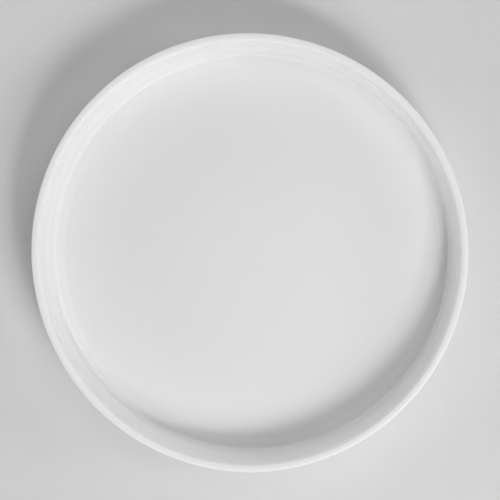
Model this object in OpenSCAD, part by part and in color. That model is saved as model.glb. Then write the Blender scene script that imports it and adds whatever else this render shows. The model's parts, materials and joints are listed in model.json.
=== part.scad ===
// A low round side plate with a leaning wall, in white porcelain, fired as one piece.
// The z axis is the axis that the plate was turned on, and z = 0 is the table it stands on.
// All lengths are millimetres and all angles are degrees.

/* [Plate] */
// Outside diameter across the lip
plate_d = 175; // [140:1:220]
// Height from the table to the top of the lip
plate_h = 28; // [22:0.5:36]

/* [Floor] */
// Thickness of the floor
floor_t = 5; // [3:0.1:6]
// Round inside the dish, where the floor meets the wall
floor_corner_r = 0.8; // [0.4:0.1:2.5]

/* [Wall] */
// Lean of the wall from upright, outward
wall_lean = 13.5; // [9:0.5:24]
// Thickness of the wall between the floor and the rim band, square to its face
wall_t = 2.8; // [2.4:0.1:4]
// Round under the dish, where the wall turns into the base
base_r = 5; // [2:0.5:7]

/* [Rim] */
// Height of the rim band, from the soft step inside the wall to the top of the lip
rim_h = 6.6; // [4:0.1:9]
// How much more the rim band leans outward on its inner side than the wall under it
rim_flare = 4.5; // [0:0.5:6]
// How far the rim band stands into the dish, past the inner face of the wall under it
rim_bead = 0.25; // [0.15:0.05:0.35]
// Height of the soft step over which the wall grows to the rim's thickness
step_h = 1.2; // [0.8:0.1:2]
// Flat crown on top of the lip, between the rounds of its two edges
lip_crown = 0.2; // [0.1:0.1:1.5]

/* [Foot ring] */
// Height of the foot ring, which is the gap between the table and the base
foot_h = 4; // [2.5:0.1:5]
// Width of the foot ring where it meets the table
foot_w = 3; // [2.5:0.1:5]
// Lean of both sides of the foot ring from upright
foot_lean = 25; // [10:1:35]
// Round of the two edges that stand on the table
foot_edge_r = 0.8; // [0.3:0.1:1]
// Round where the foot ring grows out of the base
foot_root_r = 1.5; // [0.5:0.1:2]
// Flat left on the base between its round and the foot ring
base_flat = 1.5; // [0.5:0.1:15]

/* [Hidden] */

// Pale neutral white of the glaze
porcelain = [0.93, 0.93, 0.92];
// Steps round the axis, and the most that a round of the section turns from one point to the next
turn_steps = 240;
arc_step = 5;

// The rim band's thickness at the step, and the lean of its inner face
rim_t = wall_t + rim_bead;
rim_lean = wall_lean + rim_flare;

// Width of the lip before its edges are rounded, and the round that both edges take up to the crown
lip_w = rim_t / cos(wall_lean) - rim_h * (tan(rim_lean) - tan(wall_lean));
lip_r = (lip_w - lip_crown) / (setback(1, 90 - wall_lean) + setback(1, 90 + rim_lean));
// Where the outer round of the lip runs into the outer face of the wall, as [radius, height]
lip_foot = [plate_d / 2 - lip_r, plate_h - lip_r] + lip_r * [cos(wall_lean), -sin(wall_lean)];

// Heights of the floor of the dish and of the top and bottom of the soft step
floor_z = foot_h + floor_t;
step_top_z = plate_h - rim_h;
step_low_z = step_top_z - step_h;

// The step leans less than the wall, and its two rounds take up this share of its length
step_soft_share = 0.8;
step_lean = atan(tan(wall_lean) - rim_bead / cos(wall_lean) / step_h);
step_soft = step_soft_share * step_h / cos(step_lean) / 2;
step_low_r = step_soft / tan((wall_lean - step_lean) / 2);
step_top_r = step_soft / tan((rim_lean - step_lean) / 2);

// Radius of the wall's outer face at height z, and of a face that lies t inside it
function outer_x(z) = lip_foot[0] + (z - lip_foot[1]) * tan(wall_lean);
function inner_x(z, t) = outer_x(z) - t / cos(wall_lean);

// How far a round of radius r takes the straight sides back from a corner of this angle
function setback(r, angle) = r / tan(angle / 2);

// The foot ring's outer and inner edge on the table, worked out inward from the base's corner
base_x = outer_x(foot_h);
foot_spread = foot_h * tan(foot_lean);
foot_room = setback(base_r, 90 + wall_lean) + base_flat + setback(foot_root_r, 90 + foot_lean);
foot_out_x = base_x - foot_room - foot_spread;
foot_in_x = foot_out_x - foot_w;

// Corners of half the section, anticlockwise from the axis under the base.
// Each is [radius, height, round of the corner].
section = [
    [0, foot_h, 0],
    [foot_in_x - foot_spread, foot_h, foot_root_r],
    [foot_in_x, 0, foot_edge_r],
    [foot_out_x, 0, foot_edge_r],
    [foot_out_x + foot_spread, foot_h, foot_root_r],
    [base_x, foot_h, base_r],
    [outer_x(plate_h), plate_h, lip_r],
    [outer_x(plate_h) - lip_w, plate_h, lip_r],
    [inner_x(step_top_z, rim_t), step_top_z, step_top_r],
    [inner_x(step_low_z, wall_t), step_low_z, step_low_r],
    [inner_x(floor_z, wall_t), floor_z, floor_corner_r],
    [0, floor_z, 0],
];

function unit(v) = v / norm(v);
function spin(v, a) = [v[0] * cos(a) - v[1] * sin(a), v[0] * sin(a) + v[1] * cos(a)];

// Points of the arc of radius r that rounds a corner whose sides run off in two directions.
// The arc turns left where the corner points out of the outline, and right where it points in.
function corner_arc(at, back, ahead, r) =
    let (
        half = acos(back * ahead) / 2,
        mid = at + unit(back + ahead) * r / sin(half),
        start = at + back * setback(r, 2 * half) - mid,
        turn = sign(cross(ahead, back)) * (180 - 2 * half),
        steps = ceil(abs(turn) / arc_step)
    )
    [for (k = [0:steps]) mid + spin(start, turn * k / steps)];

// Points of a closed outline, listed anticlockwise, with each corner rounded as it says
function rounded(corners) =
    let (n = len(corners), at = [for (c = corners) [c[0], c[1]]])
    [for (i = [0:n - 1])
        let (
            back = unit(at[(i + n - 1) % n] - at[i]),
            ahead = unit(at[(i + 1) % n] - at[i]),
            r = corners[i][2]
        )
        each r > 0 ? corner_arc(at[i], back, ahead, r) : [at[i]]
    ];

// The whole plate: one section turned round the axis
module plate() {
    color(porcelain) rotate_extrude($fn = turn_steps) polygon(rounded(section));
}

plate();
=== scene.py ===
# %% [markdown]
# # A white porcelain plate, from its section to its glaze
# The object is one piece of porcelain: a low round plate that was shaped by a turning tool,
# glazed and fired. It has a flat floor, a straight wall that leans outward, a soft band round
# the rim, a lip with a low crown and, underneath, a foot ring that is bare where it stands.
# Nothing on it is joined and nothing moves, so this lesson is about four things: the camera,
# the section, the glaze and the light.
#
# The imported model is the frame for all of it. It is in metres, the z axis is the axis that the
# plate was turned on, and z = 0 is the table. Sizes that the frame already holds are read from
# it. The dressed plate starts out as large as the solid, and the kiln then draws it in a little.

import json
import math

import bpy
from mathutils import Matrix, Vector, noise


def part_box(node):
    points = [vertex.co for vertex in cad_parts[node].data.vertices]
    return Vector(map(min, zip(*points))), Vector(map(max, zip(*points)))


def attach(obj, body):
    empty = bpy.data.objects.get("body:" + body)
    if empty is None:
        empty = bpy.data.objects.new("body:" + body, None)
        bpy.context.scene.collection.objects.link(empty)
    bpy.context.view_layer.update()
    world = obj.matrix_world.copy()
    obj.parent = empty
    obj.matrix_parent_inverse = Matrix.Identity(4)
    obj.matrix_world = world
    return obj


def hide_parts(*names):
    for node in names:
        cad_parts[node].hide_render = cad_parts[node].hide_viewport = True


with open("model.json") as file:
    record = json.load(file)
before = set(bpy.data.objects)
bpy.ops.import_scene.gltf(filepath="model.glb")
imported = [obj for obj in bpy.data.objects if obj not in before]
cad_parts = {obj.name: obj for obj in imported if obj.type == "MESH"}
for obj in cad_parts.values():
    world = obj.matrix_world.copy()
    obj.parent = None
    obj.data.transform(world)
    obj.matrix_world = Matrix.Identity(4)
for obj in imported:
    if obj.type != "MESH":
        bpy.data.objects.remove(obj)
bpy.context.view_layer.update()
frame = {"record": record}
MM = 0.001

low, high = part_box("plate")
plate_d = (high.x - low.x) / MM
plate_h = (high.z - low.z) / MM
print(f"the plate is {plate_d:.1f} mm across and {plate_h:.1f} mm high")

# %% [markdown]
# ## The camera
# The photograph looks straight down on the plate, but not quite from above its middle. The
# corner of the floor is a circle that sits 2 pixels to the right of the outer circle of the
# lip, and a little above it. The lip is nearer to the lens than the floor, so this shift is
# parallax, and it says on which side the lens was: a little to the right of the axis and behind
# it. How high it hung can't be read off, because a deep dish from far away and a shallow one from
# near by look alike. The 720 mm over the table is a choice, and the lens is set to go with it.

# %% Place the camera
camera_place = Vector((28.4, 8.2, 720)) * MM
aim_point = Vector((0.58, 1.07, plate_h)) * MM
sensor_width = 36
focal_length = 125.55

camera_data = bpy.data.cameras.new("copy_stand_camera")
camera_data.sensor_width = sensor_width
camera_data.lens = focal_length
camera = bpy.data.objects.new("copy_stand_camera", camera_data)
camera.location = camera_place
drop = camera_place - aim_point
camera.rotation_euler = (-math.atan(drop.y / drop.z), math.atan(drop.x / drop.z), 0)
bpy.context.scene.collection.objects.link(camera)
bpy.context.scene.camera = camera
print(f"the camera hangs {camera_place.z / MM:.0f} mm over the table")

# %% [markdown]
# ## The sizes of the section
# A plate like this is shaped by a template, a steel profile that scrapes one half of the
# section while the clay turns. So its form is a handful of real sizes: how thick the floor and
# the wall are, how far the wall leans, and how each corner is rounded. The height of the floor
# is a mount in the frame's record, and the overall sizes are the frame's box. Most of the others
# repeat the values that the solid was built with. Three don't: the wall is 0.16 mm thinner, the
# soft step is shallower and longer, and the lip has a finer profile, with a tight outer edge, a
# crown of two slopes and a small inner shoulder. Lengths are in millimetres.

# %% Read the template's sizes
mounts = {mount["name"]: mount for mount in frame["record"]["mounts"]}
floor_z = mounts["dish_floor"]["pos_m"][2] / MM

floor_t = 5
floor_corner_r = 0.8
wall_lean = math.radians(13.5)
wall_t = 2.64
base_r = 5
rim_h = 6.6
rim_bead = 0.12
step_h = 1.5
step_soft_share = 0.8
lip_w = 2.86
lip_crest_back = 1.5
lip_in_slope = math.radians(21)
lip_out_slope = math.radians(9)
lip_crown_r = 3.4
lip_outer_r = 0.5
lip_inner_r = 0.8
foot_w = 3
foot_lean = math.radians(25)
foot_edge_r = 0.8
foot_root_r = 1.5
base_flat = 1.5

foot_h = floor_z - floor_t
print(f"the floor lies {floor_z:.1f} mm up and the base {foot_h:.1f} mm over the table")

# %% [markdown]
# ## Where the corners of the section lie
# Before any rounding, half the section is an outline with thirteen corners, from the axis under
# the base to the axis on the floor. Its outer wall is one leaning line, placed so that the round
# of the lip's outer edge just reaches the outside diameter. The inner wall is the same line moved
# in by the wall's thickness. At the soft step it moves in by rim_bead more, and that is where the
# band round the rim starts. A corner is its radius, its height and the round that it takes.

# %% List the corners
lean_cos = math.cos(wall_lean)
lean_sin = math.sin(wall_lean)
rim_t = wall_t + rim_bead

# The top of the lip is a low crown: two slopes with a wide round between. The outer slope and
# the wall both touch the tight round of the outer edge.
crest_x = plate_d / 2 - lip_crest_back
crown = math.cos((lip_in_slope - lip_out_slope) / 2) / math.cos((lip_in_slope + lip_out_slope) / 2)
crest_z = plate_h + lip_crown_r * (crown - 1)
edge_cos = math.cos(wall_lean - lip_out_slope)
lip_outer_x = plate_d / 2 - lip_outer_r + lip_outer_r * (lean_sin + math.cos(lip_out_slope)) / edge_cos
lip_outer_z = crest_z - (lip_outer_x - crest_x) * math.tan(lip_out_slope)
edge_z = lip_outer_z - lip_outer_r * (lean_cos - math.sin(lip_out_slope)) / edge_cos
lip_foot_x = plate_d / 2 - lip_outer_r + lip_outer_r * lean_cos
lip_foot_z = edge_z - lip_outer_r * lean_sin


def outer_x(z):
    """Radius of the wall's outer face at a height."""
    return lip_foot_x + (z - lip_foot_z) * math.tan(wall_lean)


def inner_x(z, thickness):
    """Radius of a face that lies so far inside the outer face of the wall."""
    return outer_x(z) - thickness / lean_cos


step_top_z = plate_h - rim_h
step_low_z = step_top_z - step_h
step_lean = math.atan(math.tan(wall_lean) - rim_bead / lean_cos / step_h)
step_half = step_h / math.cos(step_lean) / 2
lip_inner_x = plate_d / 2 - lip_w
lip_inner_z = crest_z - (crest_x - lip_inner_x) * math.tan(lip_in_slope)
rim_foot_x = inner_x(step_top_z, rim_t)
rim_lean = math.atan((lip_inner_x - rim_foot_x) / (lip_inner_z - step_top_z))
step_low_r = step_soft_share * step_half / math.tan((wall_lean - step_lean) / 2)
step_top_r = step_soft_share * step_half / math.tan((rim_lean - step_lean) / 2)

foot_spread = foot_h * math.tan(foot_lean)
foot_room = (
    base_r / math.tan((math.pi / 2 + wall_lean) / 2)
    + base_flat
    + foot_root_r / math.tan((math.pi / 2 + foot_lean) / 2)
)
base_x = outer_x(foot_h)
foot_out_x = base_x - foot_room - foot_spread
foot_in_x = foot_out_x - foot_w

corners = [
    (0, foot_h, 0),
    (foot_in_x - foot_spread, foot_h, foot_root_r),
    (foot_in_x, 0, foot_edge_r),
    (foot_out_x, 0, foot_edge_r),
    (foot_out_x + foot_spread, foot_h, foot_root_r),
    (base_x, foot_h, base_r),
    (lip_outer_x, lip_outer_z, lip_outer_r),
    (crest_x, crest_z, lip_crown_r),
    (lip_inner_x, lip_inner_z, lip_inner_r),
    (rim_foot_x, step_top_z, step_top_r),
    (inner_x(step_low_z, wall_t), step_low_z, step_low_r),
    (inner_x(floor_z, wall_t), floor_z, floor_corner_r),
    (0, floor_z, 0),
]
print(f"{len(corners)} corners; the foot ring stands on {foot_in_x:.1f} to {foot_out_x:.1f} mm")

# %% [markdown]
# ## Rounding the corners
# Every corner on fired porcelain is round, because glaze pulls back from a sharp edge and
# pools in a sharp hollow. Each corner becomes an arc that touches both of its sides, with a
# point at every few degrees. A bevel modifier could do this too, but it works on the finished
# mesh and would have to guess at each radius. Here the arcs are exact.
#
# The long straight stretches get points as well. They are needed where the surface is bent a
# little later on, when the plate warps in the kiln.

# %% Turn corners into arcs
arc_step = math.radians(4)
longest_edge = 4.0


def arc_points(at, back, ahead, radius):
    """Points of the arc that rounds a corner, from its first side to its second."""
    half = back.angle(ahead) / 2
    centre = at + (back + ahead).normalized() * radius / math.sin(half)
    start = at + back * radius / math.tan(half) - centre
    turn = math.copysign(math.pi - 2 * half, ahead.cross(back))
    steps = max(3, math.ceil(abs(turn) / arc_step))
    arc = []
    for k in range(steps + 1):
        angle = turn * k / steps
        c, s = math.cos(angle), math.sin(angle)
        arc.append(centre + Vector((start.x * c - start.y * s, start.x * s + start.y * c)))
    return arc


def rounded(outline):
    """The outline's points with every corner rounded by its own radius."""
    points = []
    for i, (x, z, radius) in enumerate(outline):
        at = Vector((x, z))
        before = Vector(outline[i - 1][:2])
        after = Vector(outline[(i + 1) % len(outline)][:2])
        if radius:
            points += arc_points(at, (before - at).normalized(), (after - at).normalized(), radius)
        else:
            points.append(at)
    return points


def filled(points):
    """The same line with more points wherever two neighbours lie far apart."""
    line = [points[0]]
    for start, end in zip(points, points[1:]):
        pieces = max(1, math.ceil((end - start).length / longest_edge))
        line += [start.lerp(end, k / pieces) for k in range(1, pieces + 1)]
    return line


section = filled(rounded(corners))
print(f"half the section is a line of {len(section)} points")

# %% [markdown]
# ## Where the glaze is thick and where it is thin, and where light and shade are painted
# Glaze is a glass that is liquid in the kiln. It draws away from rounds that stand out, such
# as the lip, and gathers in hollows, such as the corner of the floor. That can be worked out
# from the section alone: how fast the line turns says how sharp a round is, and the side that
# it turns to says whether it stands out or is hollow. The result is smoothed along the line,
# because glaze levels itself over a millimetre or two.
# The same value also sets the glaze's colour. It is a little lighter on the lip, which is painted
# light, and a little darker in the hollows, which is painted shade.

# %% Work out the glaze's depth along the section
levelling = 1.2


def turn_at(line, i):
    """Angle that the line turns through at a point, positive where the round stands out."""
    if i in (0, len(line) - 1):
        return 0.0
    ahead = line[i + 1] - line[i]
    back = line[i] - line[i - 1]
    return math.atan2(back.cross(ahead), back.dot(ahead))


turns = [turn_at(section, i) for i in range(len(section))]
along = [0.0]
for start, end in zip(section, section[1:]):
    along.append(along[-1] + (end - start).length)


def glaze_and_shading_gain(i):
    """Radians of turn within reach of a point: below zero in a hollow, above on a lip."""
    reach = [math.exp(-(((s - along[i]) / levelling) ** 2)) for s in along]
    return sum(turn * near for turn, near in zip(turns, reach)) / levelling


gains = [glaze_and_shading_gain(i) for i in range(len(section))]
print(f"turn per millimetre runs from {min(gains):.2f} in the hollows to {max(gains):.2f} at the lip")

# %% [markdown]
# ## Turning the section
# The section goes round the axis in even steps, the way clay passes the template. A Screw
# modifier does the same, but a mesh that is made point by point can also carry what the kiln
# does to it:
#
# - Fired porcelain is never quite round. The rim is drawn in by up to 0.8 mm, unevenly round
#   the turn, and its height wanders by about a tenth of a millimetre.
# - The floor sags a little in its middle, where nothing carries it.
# - The foot ring is wiped clean before firing, so the glaze stops on its edges in a line that
#   wavers. The bare band between is stored as a value on the points, and the finish reads it.

# %% Set what the kiln does
oval_draw = 0.5
oval_at = math.radians(24)
three_draw = 0.3
three_at = math.radians(75)
rim_dip = 0.12
floor_sag = 0.1
glaze_t = 0.12
glaze_line = 0.42
glaze_waver = 0.14
bare_end = 0.12
print(f"the rim draws in by up to {oval_draw + three_draw:.1f} mm and the floor sags {floor_sag} mm")


def smooth_step(low, high, value):
    """0 below low, 1 above high, and an even curve between."""
    t = min(1.0, max(0.0, (value - low) / (high - low)))
    return t * t * (3 - 2 * t)


def wander(angle, waves, seed):
    """A value from about -1 to 1 that comes back to itself after a turn."""
    spot = Vector((math.cos(angle) * waves, math.sin(angle) * waves, seed))
    return noise.noise(spot) * 2


def kiln_warp(r, z, angle):
    """Where a point of the turned plate ends up after firing, as radius and height."""
    height = max(0.0, z - floor_z) / (plate_h - floor_z)
    oval = (1 + math.cos(2 * (angle - oval_at))) / 2
    three = (1 + math.cos(3 * (angle - three_at))) / 2
    r -= (oval_draw * oval + three_draw * three) * height
    z -= rim_dip * height * max(0.0, 0.5 + 0.5 * wander(angle, 1.1, 4.0))
    inside = min(1.0, r / foot_in_x)
    sag = floor_sag * (1 - inside * inside) ** 2
    return r, z - sag


def bareness(z, angle, under):
    """1 on the wiped edge of the foot ring, 0 where the glaze covers it."""
    line = glaze_line + glaze_waver * wander(angle, 9.0, 1.5)
    return (1 - smooth_step(line - bare_end, line, z)) if under else 0.0


# %% [markdown]
# A point of the section belongs to the underside as long as the line has not yet passed the
# foot ring. Where the band is bare, the surface lies one thickness of glaze further in, so the
# glaze ends in a real low edge. The flat of the band itself stays at z = 0, on the table.

# %% Build the mesh
steps_round = 384
foot_reach = next(i for i, p in enumerate(section) if p.x > foot_out_x + foot_spread + foot_root_r)


def outward(i):
    """Unit normal of the section at a point, square to the line through its neighbours."""
    along_line = section[min(i + 1, len(section) - 1)] - section[max(i - 1, 0)]
    return Vector((along_line.y, -along_line.x)).normalized()


def turned_point(i, angle):
    """Place of a section point at an angle, in metres, and how bare it is there."""
    r, z = section[i]
    bare = bareness(z, angle, i < foot_reach)
    cut = glaze_t * bare * smooth_step(0, 0.3, z)
    r, z = Vector((r, z)) - outward(i) * cut
    r, z = kiln_warp(r, z, angle)
    return Vector((r * math.cos(angle), r * math.sin(angle), z)) * MM, bare


def turned_plate(name):
    """The whole plate as one closed mesh, with its bareness and its glaze and shading gain on the
    points.
    """
    places, bare, gain, faces = [], [], [], []
    rings = range(1, len(section) - 1)
    for i in (0, len(section) - 1):
        place, _ = turned_point(i, 0)
        places.append(place)
        bare.append(0.0)
        gain.append(gains[i])
    for i in rings:
        for k in range(steps_round):
            place, bareness_here = turned_point(i, 2 * math.pi * k / steps_round)
            places.append(place)
            bare.append(bareness_here)
            gain.append(gains[i])
    first = 2
    last = first + (len(section) - 3) * steps_round
    for k in range(steps_round):
        after = (k + 1) % steps_round
        faces.append((0, first + after, first + k))
        for ring in range(first, last, steps_round):
            near, far = ring + k, ring + after
            faces.append((near, far, far + steps_round, near + steps_round))
        faces.append((1, last + k, last + after))
    mesh = bpy.data.meshes.new(name)
    mesh.from_pydata(places, [], faces)
    mesh.attributes.new("bare", "FLOAT", "POINT").data.foreach_set("value", bare)
    mesh.attributes.new("glaze_and_shading_gain", "FLOAT", "POINT").data.foreach_set("value", gain)
    mesh.shade_smooth()
    mesh.validate()
    return bpy.data.objects.new(name, mesh)


plate = turned_plate("porcelain_plate")
bpy.context.scene.collection.objects.link(plate)
even_normals = plate.modifiers.new("even_normals", "WEIGHTED_NORMAL")
even_normals.mode = "FACE_AREA"
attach(plate, "root")
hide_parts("plate")
print(f"the plate has {len(plate.data.vertices)} points and {len(plate.data.polygons)} faces")

# %% [markdown]
# ## Effects that more than one surface shares
# Three things are seen on every surface here, on the glaze, on the bare clay and on the table,
# each at its own strength: a faint cloudiness, a fine grain, and now and then a speck. Each is
# a node group, built once. A group puts out only a value that changes over the surface, and
# the shader that uses it stays in the material.

# %% Helpers for node groups
def new_group(name, inputs, outputs):
    """An empty shader node group with named sockets, and its input and output nodes."""
    group = bpy.data.node_groups.new(name, "ShaderNodeTree")
    for label, kind, value in inputs:
        socket = group.interface.new_socket(label, in_out="INPUT", socket_type=kind)
        if value is not None:
            socket.default_value = value
    for label, kind in outputs:
        group.interface.new_socket(label, in_out="OUTPUT", socket_type=kind)
    return group, group.nodes.new("NodeGroupInput"), group.nodes.new("NodeGroupOutput")


def add(tree, kind, settings=None, **values):
    """A node with its settings and the values of its inputs, named with _ for spaces."""
    node = tree.nodes.new(kind)
    for label, value in (settings or {}).items():
        setattr(node, label, value)
    for label, value in values.items():
        node.inputs[label.replace("_", " ")].default_value = value
    return node


FLOAT, VECTOR = "NodeSocketFloat", "NodeSocketVector"
print("a group's values and places go through sockets of two kinds:", FLOAT, VECTOR)

# %% [markdown]
# The cloudiness is soft noise, stretched to run from a low to a high value. Real glaze and
# real paper are never one flat tone, but the change must stay small: a few parts in a hundred.

# %% Cloudiness
def cloud_group():
    """Soft noise between a low and a high value."""
    group, entry, exit_ = new_group(
        "soft_cloud",
        [("Position", VECTOR, None), ("Scale", FLOAT, 20), ("Low", FLOAT, 0), ("High", FLOAT, 1)],
        [("Value", FLOAT)],
    )
    texture = add(group, "ShaderNodeTexNoise", Detail=3, Roughness=0.5)
    spread = add(group, "ShaderNodeMapRange", From_Min=0.3, From_Max=0.7)
    join = group.links.new
    join(entry.outputs["Position"], texture.inputs["Vector"])
    join(entry.outputs["Scale"], texture.inputs["Scale"])
    join(texture.outputs["Fac"], spread.inputs["Value"])
    join(entry.outputs["Low"], spread.inputs["To Min"])
    join(entry.outputs["High"], spread.inputs["To Max"])
    join(spread.outputs["Result"], exit_.inputs["Value"])
    return group


soft_cloud = cloud_group()
print(f"{soft_cloud.name} is ready")

# %% [markdown]
# The grain is finer noise, given as a height in metres. Glaze has it as a slow ripple with a
# finer peel on top. Bare clay and the table have it as a tooth.

# %% Grain
def grain_group():
    """A height in metres from a ripple and a finer tooth."""
    group, entry, exit_ = new_group(
        "fine_grain",
        [
            ("Position", VECTOR, None),
            ("Ripple Scale", FLOAT, 150),
            ("Ripple Height", FLOAT, 0.00001),
            ("Tooth Scale", FLOAT, 2000),
            ("Tooth Height", FLOAT, 0.000002),
        ],
        [("Height", FLOAT)],
    )
    join = group.links.new
    parts = []
    for word, detail in (("Ripple", 1), ("Tooth", 4)):
        texture = add(group, "ShaderNodeTexNoise", Detail=detail)
        raise_ = add(group, "ShaderNodeMath", {"operation": "MULTIPLY"})
        join(entry.outputs["Position"], texture.inputs["Vector"])
        join(entry.outputs[f"{word} Scale"], texture.inputs["Scale"])
        join(texture.outputs["Fac"], raise_.inputs[0])
        join(entry.outputs[f"{word} Height"], raise_.inputs[1])
        parts.append(raise_.outputs[0])
    both = add(group, "ShaderNodeMath", {"operation": "ADD"})
    join(parts[0], both.inputs[0])
    join(parts[1], both.inputs[1])
    join(both.outputs[0], exit_.inputs["Height"])
    return group


fine_grain = grain_group()
print(f"{fine_grain.name} is ready")

# %% [markdown]
# A speck is a grain of iron in the clay or of dust on the table. The surface is split into
# cells with one point each. Most cells stay empty, and in the few that the cell's own random
# value picks, a small round spot is drawn at the point.

# %% Specks
def speck_group():
    """A mask of small round spots that stand far apart."""
    group, entry, exit_ = new_group(
        "stray_specks",
        [
            ("Position", VECTOR, None),
            ("Cells", FLOAT, 200),
            ("Picked", FLOAT, 0.01),
            ("Size", FLOAT, 0.0002),
        ],
        [("Mask", FLOAT)],
    )
    join = group.links.new
    cells = add(group, "ShaderNodeTexVoronoi", {"feature": "F1"})
    picked = add(group, "ShaderNodeMath", {"operation": "LESS_THAN"})
    colour = add(group, "ShaderNodeSeparateColor")
    reach = add(group, "ShaderNodeMath", {"operation": "MULTIPLY"})
    edge = add(group, "ShaderNodeMapRange", To_Min=1, To_Max=0)
    mask = add(group, "ShaderNodeMath", {"operation": "MULTIPLY"})
    join(entry.outputs["Position"], cells.inputs["Vector"])
    join(entry.outputs["Cells"], cells.inputs["Scale"])
    join(cells.outputs["Color"], colour.inputs["Color"])
    join(colour.outputs["Red"], picked.inputs[0])
    join(entry.outputs["Picked"], picked.inputs[1])
    join(entry.outputs["Cells"], reach.inputs[0])
    join(entry.outputs["Size"], reach.inputs[1])
    join(cells.outputs["Distance"], edge.inputs["Value"])
    join(reach.outputs[0], edge.inputs["From Max"])
    join(edge.outputs["Result"], mask.inputs[0])
    join(picked.outputs[0], mask.inputs[1])
    join(mask.outputs[0], exit_.inputs["Mask"])
    return group


stray_specks = speck_group()
print(f"{stray_specks.name} is ready")

# %% [markdown]
# ## The glaze
# The plate has a white glaze between satin and gloss: no mirror, only a soft gleam on the rounds.
# A Principled shader does that. Four things keep it from being one flat white, and all of them
# change over the surface:
#
# - The glaze is a little whiter on the lip and a little deeper in the hollows. Part of this is
#   thin and gathered glaze, and part is painted light on the lip and painted shade in the hollows.
# - It is smoothest on the flats and less smooth wherever the section turns sharply. In the photo
#   the gleams on those turns are faint, and an even gloss made them too bright.
# - It has a slow ripple, a very fine peel and a faint cloudiness.
# - On the foot ring's band the glaze is missing, and the clay shows: matt, slightly warm, with
#   a fine tooth and the grey rubs of the shelves that it stood on.

# %% Helpers for materials
def new_material(name):
    """A material with a Principled shader, its node tree and its shader."""
    material = bpy.data.materials.new(name)
    material.use_nodes = True
    tree = material.node_tree
    return material, tree, tree.nodes["Principled BSDF"]


def place_group(tree, group, position, **values):
    """A group in a material, fed with the position and its own values."""
    node = add(tree, "ShaderNodeGroup", {"node_tree": group}, **values)
    tree.links.new(position, node.inputs["Position"])
    return node


def blend_colours(tree, share, first, second):
    """Mix of two colours. Each is a colour or a socket, and the share is a socket."""
    mix = add(tree, "ShaderNodeMix", {"data_type": "RGBA"})
    tree.links.new(share, mix.inputs["Factor"])
    for label, colour in (("A", first), ("B", second)):
        socket = next(s for s in mix.inputs if s.name == label and s.type == "RGBA")
        if isinstance(colour, bpy.types.NodeSocket):
            tree.links.new(colour, socket)
        else:
            socket.default_value = (*colour, 1)
    return next(s for s in mix.outputs if s.type == "RGBA")


def blend_values(tree, share, first, second):
    """Mix of two values. Each is a number or a socket, and the share is a socket."""
    mix = add(tree, "ShaderNodeMix", {"data_type": "FLOAT"})
    tree.links.new(share, mix.inputs["Factor"])
    for index, value in ((2, first), (3, second)):
        if isinstance(value, bpy.types.NodeSocket):
            tree.links.new(value, mix.inputs[index])
        else:
            mix.inputs[index].default_value = value
    return mix.outputs[0]


def stored(tree, name):
    """A value that the mesh carries on its points."""
    return add(tree, "ShaderNodeAttribute", {"attribute_name": name}).outputs["Fac"]


def spread(tree, value, from_low, from_high, to_low, to_high):
    """A socket's value moved from one range to another, and held inside it."""
    node = add(tree, "ShaderNodeMapRange")
    for index, number in enumerate((from_low, from_high, to_low, to_high), start=1):
        node.inputs[index].default_value = number
    tree.links.new(value, node.inputs["Value"])
    return node.outputs["Result"]


print("the material helpers are ready")

# %% [markdown]
# The colours and the two values of gloss come first, and the material that uses them after. The
# whites aren't measured: how white the plate is and how bright the lamps are trade off in a photo.

# %% Mix the porcelain
# Painted light and shade: the lip's white is lighter, and the hollows' white darker, than the glaze
# alone would make them. The darker white also takes the random cloudiness.
thin_glaze_and_light_white = (0.875, 0.875, 0.872)
deep_glaze_and_shade_white = (0.837, 0.84, 0.84)
bare_clay = (0.70, 0.685, 0.655)
shelf_grey = (0.50, 0.49, 0.47)
iron_brown = (0.33, 0.27, 0.22)
glaze_roughness = 0.25
turned_roughness = 0.48
clay_roughness = 0.85
glaze_ior = 1.5


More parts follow.
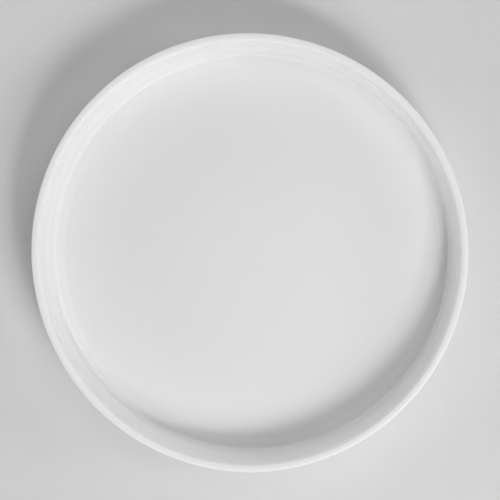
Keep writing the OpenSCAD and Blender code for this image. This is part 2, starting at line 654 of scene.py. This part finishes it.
def porcelain():
    """White glaze, and bare clay on the band that the foot ring stands on."""
    material, tree, shader = new_material("satin_porcelain")
    join = tree.links.new
    position = add(tree, "ShaderNodeTexCoord").outputs["Object"]
    bare = stored(tree, "bare")
    # Share of the darker white, 1 in the hollows and 0 on the lip. It stands for the glaze's depth, and
    # for painted shade in hollows and painted light on the lip.
    glaze_depth_and_shade_share = spread(tree, stored(tree, "glaze_and_shading_gain"), -0.6, 0.6, 1, 0)

    # Painted shade in the hollows and painted light on the lip, mixed into the glaze's tone.
    tone = blend_colours(tree, glaze_depth_and_shade_share, thin_glaze_and_light_white, deep_glaze_and_shade_white)
    cloud = place_group(tree, soft_cloud, position, Scale=28, Low=0.0, High=0.35)
    tone = blend_colours(tree, cloud.outputs["Value"], tone, deep_glaze_and_shade_white)
    speck = place_group(tree, stray_specks, position, Cells=70, Picked=0.008, Size=0.00018)
    faint = spread(tree, speck.outputs["Mask"], 0, 1, 0, 0.35)
    tone = blend_colours(tree, faint, tone, iron_brown)

    rubs = place_group(tree, soft_cloud, position, Scale=160, Low=0.0, High=0.7)
    clay = blend_colours(tree, rubs.outputs["Value"], bare_clay, shelf_grey)
    join(blend_colours(tree, bare, tone, clay), shader.inputs["Base Color"])

    sheen = place_group(tree, soft_cloud, position, Scale=60, Low=-0.01, High=0.01)
    satin = add(tree, "ShaderNodeMath", {"operation": "ADD"})
    join(sheen.outputs["Value"], satin.inputs[0])
    turned = add(tree, "ShaderNodeMath", {"operation": "ABSOLUTE"})
    join(stored(tree, "glaze_and_shading_gain"), turned.inputs[0])
    join(spread(tree, turned.outputs[0], 0.05, 0.5, glaze_roughness, turned_roughness), satin.inputs[1])
    join(blend_values(tree, bare, satin.outputs[0], clay_roughness), shader.inputs["Roughness"])

    skin = place_group(
        tree, fine_grain, position,
        Ripple_Scale=90, Ripple_Height=0.000012, Tooth_Scale=1400, Tooth_Height=0.0000006,
    )
    tooth = place_group(
        tree, fine_grain, position,
        Ripple_Scale=500, Ripple_Height=0.00001, Tooth_Scale=4000, Tooth_Height=0.000012,
    )
    height = blend_values(tree, bare, skin.outputs["Height"], tooth.outputs["Height"])
    bump = add(tree, "ShaderNodeBump", Distance=1.0)
    join(height, bump.inputs["Height"])
    join(bump.outputs["Normal"], shader.inputs["Normal"])
    shader.inputs["IOR"].default_value = glaze_ior
    return material


plate.data.materials.append(porcelain())
print(f"{plate.name} is glazed with {plate.data.materials[0].name}")

# %% [markdown]
# ## The table
# The plate stands on a smooth pale grey surface, a tone darker than the glaze. Its grain is as
# fine as paper, and only a faint unevenness of tone shows.

# %% Lay the table
table_grey = (0.714, 0.714, 0.714)
cloud_grey = (0.5, 0.5, 0.5)
table_half = 3.0
table_roughness = 0.9
table_gleam = 0.2


def table_top():
    """A wide flat surface under the plate, out to where no view reaches."""
    mesh = bpy.data.meshes.new("table_top")
    reach = table_half
    places = [(-reach, -reach, 0), (reach, -reach, 0), (reach, reach, 0), (-reach, reach, 0)]
    mesh.from_pydata(places, [], [(0, 1, 2, 3)])
    table = bpy.data.objects.new("table_top", mesh)
    bpy.context.scene.collection.objects.link(table)
    material, tree, shader = new_material("matt_grey_table")
    position = add(tree, "ShaderNodeTexCoord").outputs["Object"]
    cloud = place_group(tree, soft_cloud, position, Scale=60, Low=0.0, High=0.06)
    tone = blend_colours(tree, cloud.outputs["Value"], table_grey, cloud_grey)
    tree.links.new(tone, shader.inputs["Base Color"])
    grain = place_group(
        tree, fine_grain, position,
        Ripple_Scale=300, Ripple_Height=0.000004, Tooth_Scale=2500, Tooth_Height=0.000004,
    )
    bump = add(tree, "ShaderNodeBump", Distance=1.0)
    tree.links.new(grain.outputs["Height"], bump.inputs["Height"])
    tree.links.new(bump.outputs["Normal"], shader.inputs["Normal"])
    shader.inputs["Roughness"].default_value = table_roughness
    shader.inputs["Specular IOR Level"].default_value = table_gleam
    mesh.materials.append(material)
    return table


table = table_top()
print(f"the table reaches {table_half:.0f} m each way")

# %% [markdown]
# ## The light
# One softbox in front on the right throws both shadows: the one on the table behind the plate and
# the one inside it, under the near wall. It is made of four small panels, because its upper part
# is the brightest. White cards all round fill the shadows, unevenly.
#
# The photo doesn't show its lamps. These were fitted to its shading, so they are one mix that
# gives the picture, and not a record of the room.
#
# The strength of a light is what a white card square to it would show, so strengths can be
# compared. The power that a lamp needs for that grows with the square of its distance.

# %% Set the lamps
def soft_light(name, azimuth, elevation, distance, width, strength):
    """A round soft lamp that faces the plate, placed by two angles in degrees."""
    lamp_data = bpy.data.lights.new(name, "AREA")
    lamp_data.shape = "DISK"
    lamp_data.size = width
    lamp_data.energy = strength * (math.pi * distance) ** 2
    lamp = bpy.data.objects.new(name, lamp_data)
    turn, rise = math.radians(azimuth), math.radians(elevation)
    flat = math.cos(rise)
    toward = Vector((math.cos(turn) * flat, math.sin(turn) * flat, math.sin(rise)))
    lamp.location = toward * distance
    lamp.rotation_mode = "QUATERNION"
    lamp.rotation_quaternion = (-toward).to_track_quat("-Z", "Y")
    lamp.visible_camera = False
    bpy.context.scene.collection.objects.link(lamp)
    return lamp


# Name, azimuth and elevation in degrees, distance and width in metres, strength
panels = [
    ("softbox_upper", 301, 52, 1.3, 0.23, 0.22),
    ("softbox_lower", 301, 36, 1.3, 0.23, 0.076),
    ("softbox_left", 290, 44, 1.3, 0.23, 0.092),
    ("softbox_right", 312, 44, 1.3, 0.23, 0.141),
]
cards = [
    ("far_right_low_card", 45, 12, 3.0, 1.2, 0.127),
    ("far_low_card", 90, 12, 3.0, 1.2, 0.068),
    ("far_left_low_card", 120, 12, 3.0, 1.2, 0.162),
    ("left_low_card", 180, 12, 3.0, 1.2, 0.128),
    ("near_left_low_card", 240, 12, 3.0, 1.2, 0.16),
    ("right_card", 0, 25, 3.0, 0.9, 0.138),
    ("left_card", 210, 45, 3.0, 1.2, 0.046),
    ("top_card", 30, 70, 3.0, 1.6, 0.14),
]
for place in panels + cards:
    soft_light(*place)

room_grey = (0.151, 0.151, 0.151)
world = bpy.data.worlds.new("room_light")
world.use_nodes = True
world.node_tree.nodes["Background"].inputs["Color"].default_value = (*room_grey, 1)
bpy.context.scene.world = world
print(f"{len(panels)} panels and {len(cards)} cards light the plate")

# %% [markdown]
# ## The colour view
# The Standard view shows a colour about as it was written, with no tone curve.

# %% Set the colour view
bpy.context.scene.view_settings.view_transform = "Standard"
